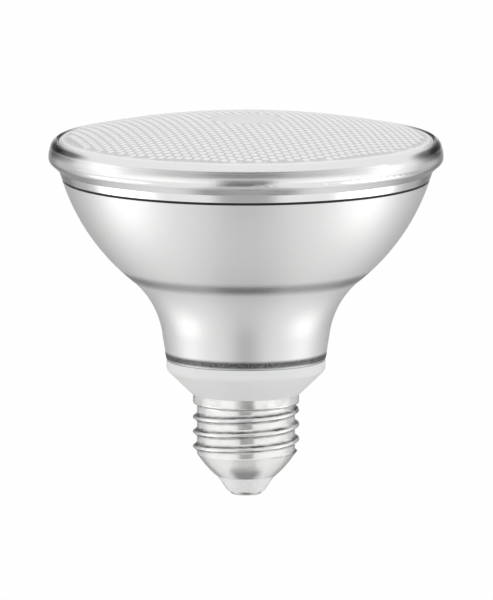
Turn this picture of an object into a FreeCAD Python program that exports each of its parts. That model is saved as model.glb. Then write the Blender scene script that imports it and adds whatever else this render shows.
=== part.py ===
import FreeCAD, Part
import math
import os
import re
import Sketcher

# A par spotlight bulb with a screw cap, in millimetres.
# The lamp axis is +Z. The origin is the centre of the contact's bottom face.
# Front is -Y: the driver board stands in the XZ plane.

DOCUMENT = FreeCAD.newDocument("ParSpotlightBulb")

# Driving dimensions: name, value, what it measures.
SIZES = [
    ("contact_radius", 3.9, "outer radius of the centre contact"),
    ("contact_edge_round", 0.8, "width of the contact's rounded edge"),
    ("contact_thickness", 0.9, "height of the contact's disc"),
    ("contact_stem_radius", 1.4, "radius of the contact's stem"),
    ("contact_stem_rise", 0.8, "stem height above the insulator"),
    ("insulator_lip", 0.7, "reach of the insulator's lower end past the contact"),
    ("insulator_cone_height", 3.7, "height of the insulator's open cone"),
    ("insulator_plug_height", 1.8, "height of the plug inside the cap"),
    ("insulator_plug_gap", 0.25, "gap between the plug and the cap"),
    ("cap_wall", 0.3, "sheet thickness of the screw cap"),
    ("taper_reach", 4.75, "inward reach of the cap's taper"),
    ("cap_taper_height", 5.5, "height of the cap's rounded taper"),
    ("cap_taper_round", 26.0, "radius of the taper's curve"),
    ("thread_root_radius", 12.05, "outer radius of the thread's valleys"),
    ("thread_depth", 1.05, "depth of the thread"),
    ("thread_pitch", 3.629, "rise of the thread in one turn"),
    ("thread_end_rise", 0.27, "end of the ridge above the root cylinder"),
    ("thread_fade_height", 3.6, "height over which the ridge fades in or out"),
    ("thread_fade_reach", 1.2, "inward reach of the fade's start"),
    ("thread_valley_half", 0.26, "half width of the flat valley between ridges"),
    ("thread_crest_half", 0.32, "half width of a ridge's rounded crest"),
    ("thread_crest_round", 0.5, "radius of the crest's round"),
    ("thread_flank_round", 2.1, "radius of the hollow flank"),
    ("thread_start_drop", 1.9, "start of the ridge below the root cylinder"),
    ("root_height", 11.8, "height of the cylinder that carries the thread"),
    ("skirt_flare_height", 1.2, "height of the flare under the skirt"),
    ("skirt_flare_round", 0.65, "radius of both curves of the flare"),
    ("skirt_step", 1.0, "step from the valleys out to the skirt"),
    ("skirt_height", 1.9, "height of the cap's skirt"),
    ("collar_step", 0.25, "step from the skirt out to the collar"),
    ("collar_round_width", 0.4, "width of the round above the cone"),
    ("collar_cone_height", 5.65, "height of the collar's cone"),
    ("collar_round_height", 1.05, "height of the round above the cone"),
    ("collar_round", 1.7, "radius of the round above the cone"),
    ("collar_proud", 0.1, "reach of the collar past the neck's lip"),
    ("collar_band_height", 1.7, "height of the collar's band"),
    ("housing_wall", 1.5, "wall of the plastic housing"),
    ("spigot_rise", 3.4, "foot of the housing's spigot above the cap's taper"),
    ("spigot_band_height", 1.4, "height of the band that centres the cap"),
    ("fit_clearance", 0.1, "gap between pieces that fit together"),
    ("neck_clearance", 0.3, "gap between the housing tube and the neck"),
    ("shell_wall", 1.2, "sheet thickness of the reflector shell"),
    ("neck_lip_height", 1.9, "height of the neck's lip"),
    ("neck_lip_round", 4.5, "radius of the lip's curve"),
    ("neck_lip_turn", 0.4, "inward turn of the neck's lip"),
    ("neck_cone_height", 3.7, "height of the neck's slim cone"),
    ("neck_taper", 0.6, "widening of the neck's slim cone"),
    ("driver_headroom", 2.05, "room above the driver board under the heat sink"),
    ("flare_round", 21.6, "radius of the flare's hollow curve"),
    ("flare_reach", 7.05, "outward reach of the flare"),
    ("bowl_height", 25.05, "height of the bowl"),
    ("bowl_round", 52.8, "radius of the bowl's curve"),
    ("bowl_mouth_radius", 45.1, "outer radius of the bowl's mouth"),
    ("gasket_height", 0.65, "height of the black ring under the bezel"),
    ("gasket_recess", 0.35, "depth of the ring behind the bowl's edge"),
    ("spigot_depth", 1.5, "depth of the bezel's spigot in the bowl"),
    ("bezel_proud", 0.2, "reach of the bezel's foot past the bowl's mouth"),
    ("bezel_band_height", 1.9, "height of the band below the bead"),
    ("bezel_band_flare", 0.65, "widening of the bezel's band"),
    ("bead_under_height", 1.55, "height of the bead's sloping underside"),
    ("bead_low_round", 1.9, "radius of the bead's lower round"),
    ("bead_low_reach", 0.9, "outward reach of the bead's lower round"),
    ("bead_low_height", 1.7, "height of the bead's lower round"),
    ("bead_side_round", 6.5, "radius of the bead's side"),
    ("bead_side_height", 2.3, "height of the bead's side"),
    ("bead_side_lean", 0.4, "inward lean of the bead's side"),
    ("bead_top_round", 2.6, "radius of the bead's shoulder"),
    ("bead_top_height", 2.0, "height of the bead's shoulder"),
    ("bead_shoulder_reach", 1.5, "inward reach of the bead's shoulder"),
    ("bead_lip_width", 0.5, "width of the bead's lip round the lens"),
    ("bead_lip_drop", 0.45, "drop from the crown to the lens bore"),
    ("lens_radius", 46.0, "outer radius of the lens"),
    ("lens_seat_height", 4.95, "height of the lens seat above the bezel's foot"),
    ("lens_seat_width", 3.9, "width of the ledge under the lens"),
    ("spigot_wall", 0.9, "wall of the bezel's spigot"),
    ("lens_wall_height", 3.75, "height of the lens's upright edge"),
    ("lens_edge_height", 0.75, "height of the round at the lens's edge"),
    ("lens_edge_round", 0.9, "radius of the round at the lens's edge"),
    ("lens_edge_width", 0.7, "width of the round at the lens's edge"),
    ("lens_dome_round", 200.0, "radius of the lens's dome"),
    ("lens_thickness", 2.4, "thickness of the lens"),
    ("lens_rim_width", 3.0, "width of the lens's upright rim"),
    ("sink_drop", 0.3, "underside of the heat sink below the crease"),
    ("sink_thickness", 2.0, "thickness of the heat sink's plate"),
    ("sink_rim_height", 2.2, "height of the rim under the heat sink"),
    ("sink_rim_width", 1.4, "width of the rim under the heat sink"),
    ("sink_edge_gap", 1.2, "gap between the heat sink and the shell"),
    ("wire_hole_radius", 3.8, "radius of the hole for the lamp wires"),
    ("led_board_margin", 3.0, "edge of the lamp board past the screws"),
    ("board_thickness", 1.6, "thickness of both circuit boards"),
    ("chip_side", 3.0, "side of one light chip"),
    ("chip_height", 0.8, "height of one light chip"),
    ("outer_chip_inset", 4.0, "outer ring of chips inside the screws"),
    ("chip_ring_step", 4.0, "from the outer to the inner ring of chips"),
    ("boss_inset", 2.15, "middle of a boss inside the housing's bore"),
    ("screw_radius", 1.25, "radius of the screw's shank"),
    ("screw_length", 9.0, "length of the screw's shank"),
    ("screw_head_radius", 2.2, "radius of the screw's head"),
    ("screw_head_height", 1.5, "height of the screw's head"),
    ("boss_radius", 2.7, "radius of the housing's screw bosses"),
    ("boss_length", 11.0, "length of the housing's screw bosses"),
    ("rail_thickness", 1.2, "thickness of a rail beside the driver board"),
    ("rail_reach", 1.9, "reach of a rail from the housing's wall"),
    ("board_margin", 2.0, "edge of the driver board past its components"),
    ("driver_side_gap", 0.65, "gap between the driver board and the bore"),
    ("driver_drop", 2.0, "bottom of the driver board below the shoulder"),
    ("core_width", 12.0, "width of the transformer"),
    ("core_depth", 10.5, "depth of the transformer from the board"),
    ("winding_wall", 2.0, "thickness of the winding outside the core"),
    ("core_height", 10.5, "height of the transformer"),
    ("component_gap", 0.5, "gap between neighbouring components"),
    ("core_bar", 2.2, "thickness of the ferrite core's bars"),
    ("winding_gap", 0.2, "gap between the winding and the core"),
    ("can_radius", 4.0, "radius of both electrolytic capacitors"),
    ("input_can_height", 10.5, "height of the input capacitor"),
    ("output_can_height", 9.5, "height of the output capacitor"),
    ("can_bead_drop", 2.2, "height of the groove in a capacitor's can"),
    ("can_bead_depth", 0.4, "depth of the groove in a capacitor's can"),
    ("can_spread", 2.5, "near side of a capacitor from the middle"),
    ("can_rise", 0.6, "capacitor above the driver board's bottom"),
    ("choke_radius", 3.6, "radius of the choke's flanges"),
    ("choke_hub_radius", 1.6, "radius of the choke's middle"),
    ("choke_depth", 8.0, "length of the choke from the board"),
    ("choke_flange", 1.2, "thickness of the choke's flanges"),
    ("film_width", 6.5, "width of the film capacitor"),
    ("film_depth", 5.0, "depth of the film capacitor"),
    ("film_height", 8.0, "height of the film capacitor"),
    ("film_corner", 0.8, "corner round of the film capacitor"),
    ("bridge_side", 4.7, "side of the bridge rectifier"),
    ("bridge_depth", 1.9, "thickness of the bridge rectifier"),
    ("chip_pack_width", 4.9, "width of the driver chip"),
    ("chip_pack_height", 3.9, "height of the driver chip"),
    ("chip_pack_depth", 1.5, "thickness of the driver chip"),
    ("lead_width", 0.45, "width of a lead"),
    ("lead_reach", 1.0, "reach of a lead beside its package"),
    ("lead_thickness", 0.25, "thickness of a lead"),
    ("pack_inset", 5.9, "middle of the packages inside the board's edge"),
    ("fuse_radius", 1.5, "radius of the fuse resistor"),
    ("fuse_length", 8.0, "length of the fuse resistor's body"),
    ("fuse_cap_length", 1.6, "length of the fuse resistor's end swell"),
    ("fuse_cap_swell", 0.25, "swell of the fuse resistor's ends"),
    ("fuse_rise", 4.2, "fuse resistor above the board's bottom"),
    ("varistor_radius", 3.4, "radius of the surge varistor"),
    ("varistor_depth", 3.6, "thickness of the surge varistor"),
    ("varistor_round", 0.9, "edge round of the surge varistor"),
    ("varistor_rise", 4.2, "middle of the varistor above the bottom"),
    ("part_gap", 0.05, "solder gap between a component and its board"),
    ("wire_radius", 0.6, "radius of an insulated wire"),
    ("wire_spread", 2.5, "wires from the middle of the driver board"),
    ("lamp_wire_spread", 1.5, "lamp wires from the middle"),
    ("wire_lap", 1.4, "length of a wire soldered on the board"),
    ("wire_bend_drop", 8.0, "first bend of the cap's wires below the board"),
    ("wire_foot", 6.0, "straight foot of the live wire"),
    ("neutral_foot", 4.7, "straight foot of the neutral wire"),
    ("lamp_wire_reach", 4.5, "reach of the lamp wires over the lamp board"),
    ("lamp_wire_lap", 2.2, "length of a lamp wire on the driver board"),
]

SIZE_NAMES = {name for name, _value, _note in SIZES}
OUTER_CHIP_ANGLES = range(110, 470, 40)
INNER_CHIP_ANGLES = (60, 120, 240, 300)
SCREWS = 3
THREAD_START_ANGLE = -184.5
FULL_TURN = 360.0
BEND_SHARE = 0.45


def make_sheet():
    """Writes the driving dimensions to the document's spreadsheet."""
    sheet = DOCUMENT.addObject("Spreadsheet::Sheet", "Sizes")
    for row, (name, value, note) in enumerate(SIZES, start=1):
        sheet.set(f"A{row}", note)
        sheet.set(f"B{row}", str(value))
        sheet.setAlias(f"B{row}", name)
    DOCUMENT.recompute()
    return sheet


SHEET = make_sheet()


def in_sheet(expression):
    """Puts the sheet's name before each size that an expression uses."""
    return re.sub(
        r"[a-z][a-z_]+",
        lambda word: "Sizes." + word.group() if word.group() in SIZE_NAMES else word.group(),
        expression,
    )


def number(expression):
    """The value of an expression now, in millimetres."""
    value = SHEET.evalExpression(in_sheet(expression))
    return float(getattr(value, "Value", value))


def bind(thing, prop, expression):
    thing.setExpression(prop, in_sheet(expression))


# Radii and widths worked out from the middle of the lamp outwards.
CORE_SIDE_END = "(core_width / 2 + component_gap)"
DRIVER_HALF = f"({CORE_SIDE_END} + component_gap + max(film_width; 2 * varistor_radius) + board_margin)"
TUBE_BORE = f"({DRIVER_HALF} + driver_side_gap)"
TUBE_RADIUS = f"({TUBE_BORE} + housing_wall)"
NECK_LIP = f"({TUBE_RADIUS} + neck_clearance + shell_wall)"
NECK_FOOT_RADIUS = f"({NECK_LIP} + neck_lip_turn)"
NECK_TOP_RADIUS = f"({NECK_FOOT_RADIUS} + neck_taper)"
CREASE_RADIUS = f"({NECK_TOP_RADIUS} + flare_reach)"
COLLAR_RADIUS = f"({NECK_LIP} + collar_proud)"
COLLAR_CONE_RADIUS = f"({COLLAR_RADIUS} - collar_round_width)"
SKIRT_RADIUS = "(thread_root_radius + skirt_step)"
CREST_RADIUS = "(thread_root_radius + thread_depth)"
CAP_EDGE_RADIUS = "(thread_root_radius - taper_reach)"
COLLAR_FOOT_RADIUS = f"({SKIRT_RADIUS} + collar_step)"
SKIRT_BORE = f"({SKIRT_RADIUS} - cap_wall)"
SPIGOT_RADIUS = "(thread_root_radius - cap_wall - 2 * fit_clearance)"
SPIGOT_BORE = f"({SPIGOT_RADIUS} - housing_wall)"
BEZEL_FOOT_RADIUS = "(bowl_mouth_radius + bezel_proud)"
BEZEL_WAIST_RADIUS = f"({BEZEL_FOOT_RADIUS} + bezel_band_flare)"
LENS_FACE_RADIUS = "(lens_radius - lens_edge_width)"
LENS_BORE = "(lens_radius + fit_clearance)"
BEAD_CROWN_RADIUS = f"({LENS_BORE} + bead_lip_width)"
BEAD_SHOULDER_RADIUS = f"({BEAD_CROWN_RADIUS} + bead_shoulder_reach)"
BEAD_RADIUS = f"({BEAD_SHOULDER_RADIUS} + bead_side_lean)"
BEAD_UNDER_RADIUS = f"({BEAD_RADIUS} - bead_low_reach)"
SCREW_CIRCLE = f"({TUBE_BORE} - boss_inset)"

# Heights of the joints between pieces, from the contact up.
INSULATOR_FOOT = "contact_thickness"
CAP_EDGE = f"({INSULATOR_FOOT} + insulator_cone_height)"
ROOT_FOOT = f"({CAP_EDGE} + cap_taper_height)"
ROOT_TOP = f"({ROOT_FOOT} + root_height)"
SKIRT_FOOT = f"({ROOT_TOP} + skirt_flare_height)"
COLLAR_FOOT = f"({SKIRT_FOOT} + skirt_height)"
HOUSING_FOOT = f"({ROOT_FOOT} + spigot_rise)"
CONE_TOP = f"({COLLAR_FOOT} + collar_cone_height)"
BAND_FOOT = f"({CONE_TOP} + collar_round_height)"
SHOULDER = f"({BAND_FOOT} + collar_band_height)"
LIP_FOOT = f"({SHOULDER} + fit_clearance)"
NECK_FOOT = f"({LIP_FOOT} + neck_lip_height)"
FLARE_FOOT = f"({NECK_FOOT} + neck_cone_height)"
DRIVER_FOOT = f"({SHOULDER} - driver_drop)"
CORE_FOOT = f"({DRIVER_FOOT} + fuse_rise + fuse_radius + component_gap / 2)"
CORE_TOP = f"({CORE_FOOT} + core_height)"
CAN_TOP = f"({DRIVER_FOOT} + can_rise + input_can_height)"
UPPER_ROW = f"({CAN_TOP} + component_gap / 2 + choke_radius)"
DRIVER_TOP = f"(max({CORE_TOP} + lamp_wire_lap; {UPPER_ROW} + choke_radius) + component_gap)"
SINK_FOOT = f"({DRIVER_TOP} + driver_headroom)"
CREASE = f"({SINK_FOOT} + sink_drop)"
MOUTH = f"({CREASE} + bowl_height)"
BEZEL_FOOT = f"({MOUTH} + gasket_height)"
LENS_SEAT = f"({BEZEL_FOOT} + lens_seat_height)"
SINK_TOP = f"({SINK_FOOT} + sink_thickness)"
LED_TOP = f"({SINK_TOP} + board_thickness)"
BOARD_FACE = "(board_thickness / 2)"


def arc_centre(low, high, radius, side):
    """Centre of the arc between two corners; side 1 lies towards the axis, -1 away from it."""
    across = f"({high[0]} - {low[0]})"
    up = f"({high[1]} - {low[1]})"
    chord = f"sqrt({across} ^ 2 + {up} ^ 2)"
    back = f"sqrt({radius} ^ 2 - ({across} ^ 2 + {up} ^ 2) / 4)"
    centre_r = f"(({low[0]} + {high[0]}) / 2 - {side} * {back} * {up} / {chord})"
    centre_z = f"(({low[1]} + {high[1]}) / 2 + {side} * {back} * {across} / {chord})"
    return centre_r, centre_z


BOWL_CENTRE = arc_centre((CREASE_RADIUS, CREASE), ("bowl_mouth_radius", MOUTH), "bowl_round", 1)


def bowl_inside(height):
    """Inner radius of the bowl at a height, as an expression."""
    return (
        f"({BOWL_CENTRE[0]} + sqrt((bowl_round - shell_wall) ^ 2"
        f" - ({height} - {BOWL_CENTRE[1]}) ^ 2))"
    )


def arc_points(start, end, radius, bulge):
    """A three-point arc; a positive bulge lies left of the way from start to end."""
    middle = (start + end) / 2
    way = end - start
    left = FreeCAD.Vector(-way.y, way.x, 0).normalize()
    back = math.sqrt(max(radius**2 - (way.Length / 2) ** 2, 0))
    side = math.copysign(1, bulge)
    return Part.Arc(start, middle + left * side * (radius - back), end)


def draw_outline(sketch, corners):
    """Draws a closed outline; each corner is (radius, height) or (radius, height, arc, bulge)."""
    points = [FreeCAD.Vector(number(c[0]), number(c[1]), 0) for c in corners]
    ends = []
    for index, corner in enumerate(corners):
        start = points[index]
        end = points[(index + 1) % len(points)]
        if len(corner) == 2:
            edge = sketch.addGeometry(Part.LineSegment(start, end), False)
        else:
            edge = sketch.addGeometry(arc_points(start, end, number(corner[2]), corner[3]), False)
        first = 1 if sketch.getPoint(edge, 1).distanceToPoint(start) < 1e-6 else 2
        ends.append((edge, first, 3 - first))
    for index, (edge, first, last) in enumerate(ends):
        following = ends[(index + 1) % len(ends)]
        sketch.addConstraint(Sketcher.Constraint("Coincident", edge, last, following[0], following[1]))
    for index, (edge, first, last) in enumerate(ends):
        corner = corners[index]
        fix(sketch, "DistanceX", f"radius_{index}", (-1, 1, edge, first), points[index].x, corner[0])
        fix(sketch, "DistanceY", f"height_{index}", (-1, 1, edge, first), points[index].y, corner[1])
        if len(corner) == 4:
            fix(sketch, "Radius", f"arc_{index}", (edge,), number(corner[2]), corner[2])


def fix(sketch, kind, name, where, value, expression):
    """Adds one named dimension to a sketch and binds it to the sheet."""
    index = sketch.addConstraint(Sketcher.Constraint(kind, *where, value))
    sketch.renameConstraint(index, name)
    bind(sketch, f"Constraints.{name}", expression)


def origin_feature(body, role):
    return next(f for f in body.Origin.OriginFeatures if f.Role == role)


def body_sketch(body, name, corners, turn=0.0):
    """A sketch of an outline in the body's XZ plane, turned about the lamp axis."""
    sketch = body.newObject("Sketcher::SketchObject", name)
    sketch.AttachmentSupport = [(origin_feature(body, "XZ_Plane"), "")]
    sketch.MapMode = "FlatFace"
    axis = FreeCAD.Vector(0, 1, 0)
    sketch.AttachmentOffset = FreeCAD.Placement(FreeCAD.Vector(), FreeCAD.Rotation(axis, turn))
    draw_outline(sketch, corners)
    return sketch


def revolve(body, name, corners, kind="PartDesign::Revolution"):
    sketch = body_sketch(body, f"{name}_outline", corners)
    feature = body.newObject(kind, name)
    feature.Profile = sketch
    feature.ReferenceAxis = (origin_feature(body, "Z_Axis"), [""])
    feature.Angle = FULL_TURN
    sketch.Visibility = False
    return feature


PIECES = []


def keep(thing, label):
    """Names a finished piece and puts it on the list of pieces to write."""
    thing.Label = label
    PIECES.append(thing)
    return thing


def turned(label, corners):
    """A piece turned, blown or moulded round the lamp axis."""
    body = DOCUMENT.addObject("PartDesign::Body", f"{label}_body")
    revolve(body, f"{label}_turning", corners)
    return keep(body, label)


def cylinder(name, radius, height, base, axis="Z"):
    solid = DOCUMENT.addObject("Part::Cylinder", name)
    bind(solid, "Radius", radius)
    bind(solid, "Height", height)
    place(solid, base)
    if axis == "Y":
        solid.Placement.Rotation = FreeCAD.Rotation(FreeCAD.Vector(1, 0, 0), -90)
    if axis == "X":
        solid.Placement.Rotation = FreeCAD.Rotation(FreeCAD.Vector(0, 1, 0), 90)
    return solid


def block(name, size, corner):
    solid = DOCUMENT.addObject("Part::Box", name)
    for prop, expression in zip(("Length", "Width", "Height"), size):
        bind(solid, prop, expression)
    place(solid, corner)
    return solid


def place(thing, base):
    for axis, expression in zip("xyz", base):
        bind(thing, f"Placement.Base.{axis}", expression)


def fuse(name, solids):
    joined = DOCUMENT.addObject("Part::MultiFuse", name)
    joined.Shapes = solids
    joined.Refine = True
    return joined


def cut(name, base, tool):
    result = DOCUMENT.addObject("Part::Cut", name)
    result.Base = base
    result.Tool = tool
    return result


def gather(name, solids):
    group = DOCUMENT.addObject("Part::Compound", name)
    group.Links = solids
    return group


def round_edges(name, base, radius, chosen):
    """Rounds the edges that the test chooses."""
    DOCUMENT.recompute()
    rounded = DOCUMENT.addObject("Part::Fillet", name)
    rounded.Base = base
    size = number(radius)
    edges = base.Shape.Edges
    rounded.Edges = [(i + 1, size, size) for i, edge in enumerate(edges) if chosen(edge)]
    return rounded


def on_circle(radius, angle):
    """The X and Y of a point on a circle, as expressions."""
    return f"({radius}) * cos({angle} deg)", f"({radius}) * sin({angle} deg)"


# Screw cap
def centre_contact():
    top = f"({CAP_EDGE} + insulator_plug_height + contact_stem_rise)"
    turned(
        "centre_contact",
        [
            ("0", "0"),
            ("contact_radius - contact_edge_round", "0", "contact_thickness", -1),
            ("contact_radius", "contact_thickness / 2"),
            ("contact_radius", "contact_thickness"),
            ("contact_stem_radius", "contact_thickness"),
            ("contact_stem_radius", top),
            ("0", top),
        ],
    )


def cap_insulator():
    bore = "(contact_stem_radius + part_gap)"
    plug = f"({CAP_EDGE_RADIUS} - cap_wall - insulator_plug_gap)"
    flange = f"({CAP_EDGE_RADIUS} - cap_wall / 2)"
    turned(
        "cap_insulator",
        [
            (bore, INSULATOR_FOOT),
            ("contact_radius + insulator_lip", INSULATOR_FOOT),
            (flange, CAP_EDGE),
            (plug, CAP_EDGE),
            (plug, f"{CAP_EDGE} + insulator_plug_height"),
            (bore, f"{CAP_EDGE} + insulator_plug_height"),
        ],
    )


def cap_outline(inset):
    """The cap without its thread, moved in by the wall for the hollow."""
    root = f"thread_root_radius - {inset}"
    skirt = f"{SKIRT_RADIUS} - {inset}"
    middle = (f"thread_root_radius + skirt_step / 2 - {inset}", f"({ROOT_TOP} + {SKIRT_FOOT}) / 2")
    return [
        ("0", CAP_EDGE),
        (f"{CAP_EDGE_RADIUS} - {inset}", CAP_EDGE, f"cap_taper_round - {inset}", -1),
        (root, ROOT_FOOT),
        (root, ROOT_TOP, "skirt_flare_round", 1),
        (*middle, "skirt_flare_round", -1),
        (skirt, SKIRT_FOOT),
        (skirt, COLLAR_FOOT),
        ("0", COLLAR_FOOT),
    ]


def ridge_outline(inset):
    """One ridge of the thread, moved in by the wall for the hollow."""
    middle = f"({ROOT_FOOT} - thread_start_drop)"
    base = f"thread_root_radius - cap_wall / 2 - {inset}"
    crest_rise = "(thread_crest_round - sqrt(thread_crest_round ^ 2 - thread_crest_half ^ 2))"
    shoulder = f"{CREST_RADIUS} - {crest_rise} - {inset}"
    half = "(thread_pitch / 2 - thread_valley_half)"
    return [
        (base, f"{middle} - {half}", "thread_flank_round", 1),
        (shoulder, f"{middle} - thread_crest_half", "thread_crest_round", -1),
        (shoulder, f"{middle} + thread_crest_half", "thread_flank_round", 1),
        (base, f"{middle} + {half}"),
    ]


def fade_outline(inset):
    """The space in which the ridge stays, so that both its ends fade into the cap."""
    low = f"({ROOT_FOOT} - thread_fade_height / 2)"
    full = f"{CREST_RADIUS} + cap_wall - {inset}"
    return [
        ("0", low),
        (f"thread_root_radius - thread_fade_reach - {inset}", low),
        (full, f"{ROOT_FOOT} + thread_fade_height / 2"),
        (full, f"{ROOT_TOP} - thread_fade_height / 2"),
        (f"thread_root_radius - {inset}", SKIRT_FOOT),
        ("0", SKIRT_FOOT),
    ]


def form(name, corners):
    """A turned solid that is used up in a larger piece."""
    body = DOCUMENT.addObject("PartDesign::Body", f"{name}_form")
    revolve(body, name, corners)
    return body


def ridge(name, corners):
    """One ridge wound up the cap as a right-hand helix."""
    body = DOCUMENT.addObject("PartDesign::Body", f"{name}_form")
    sketch = body_sketch(body, f"{name}_outline", corners, THREAD_START_ANGLE)
    helix = body.newObject("PartDesign::AdditiveHelix", name)
    helix.Profile = sketch
    helix.ReferenceAxis = (origin_feature(body, "Z_Axis"), [""])
    helix.Mode = "pitch-turns-angle"
    bind(helix, "Pitch", "thread_pitch")
    bind(helix, "Turns", "(root_height + thread_start_drop + thread_end_rise) / thread_pitch")
    helix.LeftHanded = False
    sketch.Visibility = False
    return body


def pressed_form(name, inset):
    """The cap with its thread as one solid, moved in by the wall for the hollow."""
    plug = form(f"{name}_plug", cap_outline(inset))
    limit = form(f"{name}_limit", fade_outline(inset))
    winding = ridge(f"{name}_winding", ridge_outline(inset))
    kept = DOCUMENT.addObject("Part::Common", f"{name}_thread")
    kept.Base = winding
    kept.Tool = limit
    joined = DOCUMENT.addObject("Part::Fuse", f"{name}_whole")
    joined.Base = plug
    joined.Tool = kept
    return joined


def screw_shell():
    """The rolled screw cap: a thin shell with its thread pressed in both faces."""
    outside = pressed_form("cap_outside", "0")
    hollow = pressed_form("cap_hollow", "cap_wall")
    keep(cut("screw_shell_cut", outside, hollow), "screw_shell")


# Housing, shell and bezel
def base_housing():
    """The white moulding: collar outside, tube in the neck, spigot in the cap."""
    wall = "housing_wall * sqrt(2)"
    spigot_top = f"({COLLAR_FOOT} - spigot_band_height)"
    band = f"({SKIRT_BORE} - fit_clearance)"
    cone_rise = f"(collar_cone_height / ({COLLAR_CONE_RADIUS} - {COLLAR_FOOT_RADIUS}))"
    cone_foot = f"({COLLAR_FOOT} + {wall} - {COLLAR_FOOT_RADIUS} * {cone_rise})"
    inner_foot = f"({cone_foot} + {SPIGOT_BORE} * {cone_rise})"
    inner_top = f"({cone_foot} + {TUBE_BORE} * {cone_rise})"
    body = DOCUMENT.addObject("PartDesign::Body", "housing_body")
    revolve(
        body,
        "housing_turning",
        [
            (TUBE_RADIUS, SINK_FOOT),
            (TUBE_RADIUS, SHOULDER),
            (COLLAR_RADIUS, SHOULDER),
            (COLLAR_RADIUS, BAND_FOOT, "collar_round", 1),
            (COLLAR_CONE_RADIUS, CONE_TOP),
            (COLLAR_FOOT_RADIUS, COLLAR_FOOT),
            (band, COLLAR_FOOT),
            (band, spigot_top),
            (SPIGOT_RADIUS, f"{spigot_top} - ({band} - {SPIGOT_RADIUS})"),
            (SPIGOT_RADIUS, HOUSING_FOOT),
            (SPIGOT_BORE, HOUSING_FOOT),
            (SPIGOT_BORE, inner_foot),
            (TUBE_BORE, inner_top),
            (TUBE_BORE, SINK_FOOT),
        ],
    )
    keep(with_bosses_and_rails(body), "base_housing")


def with_bosses_and_rails(body):
    """Adds the screw bosses and the driver board's rails to the housing."""
    additions = [body]
    pilots = []
    low = f"({SINK_FOOT} - boss_length)"
    for index in range(SCREWS):
        angle = 90 + index * FULL_TURN / SCREWS
        x, y = on_circle(SCREW_CIRCLE, angle)
        additions.append(cylinder(f"boss_{index}", "boss_radius", "boss_length", (x, y, low)))
        depth = "(boss_length + housing_wall)"
        pilot_foot = f"({SINK_FOOT} - boss_length - housing_wall / 2)"
        pilots.append(
            cylinder(f"pilot_{index}", "screw_radius + part_gap", depth, (x, y, pilot_foot))
        )
    rail_length = f"{SINK_FOOT} - {SHOULDER} - 2 * fit_clearance"
    reach = "(rail_reach + housing_wall / 2)"
    for side in (-1, 1):
        for face in (-1, 1):
            near = f"({BOARD_FACE} + part_gap)"
            x = f"{TUBE_BORE} - rail_reach" if side > 0 else f"-({TUBE_BORE} - rail_reach) - {reach}"
            y = near if face > 0 else f"-{near} - rail_thickness"
            size = (reach, "rail_thickness", rail_length)
            corner = (x, y, f"{SHOULDER} + fit_clearance")
            additions.append(block(f"rail_{side + 1}_{face + 1}", size, corner))
    return cut("housing_cut", fuse("housing_fuse", additions), gather("pilots", pilots))


def reflector_shell():
    """The spun aluminium shell: turned-in lip, neck, flare and bowl in one piece."""
    across = f"({CREASE_RADIUS} - {BOWL_CENTRE[0]}) / bowl_round"
    up = f"({BOWL_CENTRE[1]} - {CREASE}) / bowl_round"
    inner_crease = (f"{CREASE_RADIUS} - shell_wall * {across}", f"{CREASE} + shell_wall * {up}")
    turned(
        "reflector_shell",
        [
            (NECK_LIP, LIP_FOOT, "neck_lip_round", -1),
            (NECK_FOOT_RADIUS, NECK_FOOT),
            (NECK_TOP_RADIUS, FLARE_FOOT, "flare_round", 1),
            (CREASE_RADIUS, CREASE, "bowl_round", -1),
            ("bowl_mouth_radius", MOUTH),
            (bowl_inside(MOUTH), MOUTH, "bowl_round - shell_wall", 1),
            (*inner_crease, "flare_round + shell_wall", -1),
            (f"{NECK_TOP_RADIUS} - shell_wall", FLARE_FOOT),
            (f"{NECK_FOOT_RADIUS} - shell_wall", NECK_FOOT),
            (f"{NECK_LIP} - shell_wall", LIP_FOOT),
        ],
    )


SPIGOT_TOP = f"({bowl_inside(MOUTH)} - fit_clearance)"


def rim_gasket():
    inner = f"({SPIGOT_TOP} + part_gap)"
    outer = "(bowl_mouth_radius - gasket_recess)"
    turned(
        "rim_gasket",
        [(inner, MOUTH), (outer, MOUTH), (outer, BEZEL_FOOT), (inner, BEZEL_FOOT)],
    )


def bezel_ring():
    """The bright ring: spigot in the bowl, band, bead, and the seat of the lens."""
    waist = f"({BEZEL_FOOT} + bezel_band_height)"
    under = f"({waist} + bead_under_height)"
    widest = f"({under} + bead_low_height)"
    shoulder = f"({widest} + bead_side_height)"
    crown = f"({shoulder} + bead_top_height)"
    spigot_foot = f"({MOUTH} - spigot_depth)"
    spigot_radius = f"({bowl_inside(spigot_foot)} - fit_clearance)"
    seat_bore = f"min({spigot_radius} - spigot_wall; {LENS_BORE} - lens_seat_width)"
    turned(
        "bezel_ring",
        [
            (BEZEL_FOOT_RADIUS, BEZEL_FOOT),
            (BEZEL_WAIST_RADIUS, waist),
            (BEAD_UNDER_RADIUS, under, "bead_low_round", -1),
            (BEAD_RADIUS, widest, "bead_side_round", -1),
            (BEAD_SHOULDER_RADIUS, shoulder, "bead_top_round", -1),
            (BEAD_CROWN_RADIUS, crown),
            (LENS_BORE, f"{crown} - bead_lip_drop"),
            (LENS_BORE, LENS_SEAT),
            (seat_bore, LENS_SEAT),
            (seat_bore, spigot_foot),
            (spigot_radius, spigot_foot),
            (SPIGOT_TOP, MOUTH),
            (SPIGOT_TOP, BEZEL_FOOT),
        ],
    )


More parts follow.
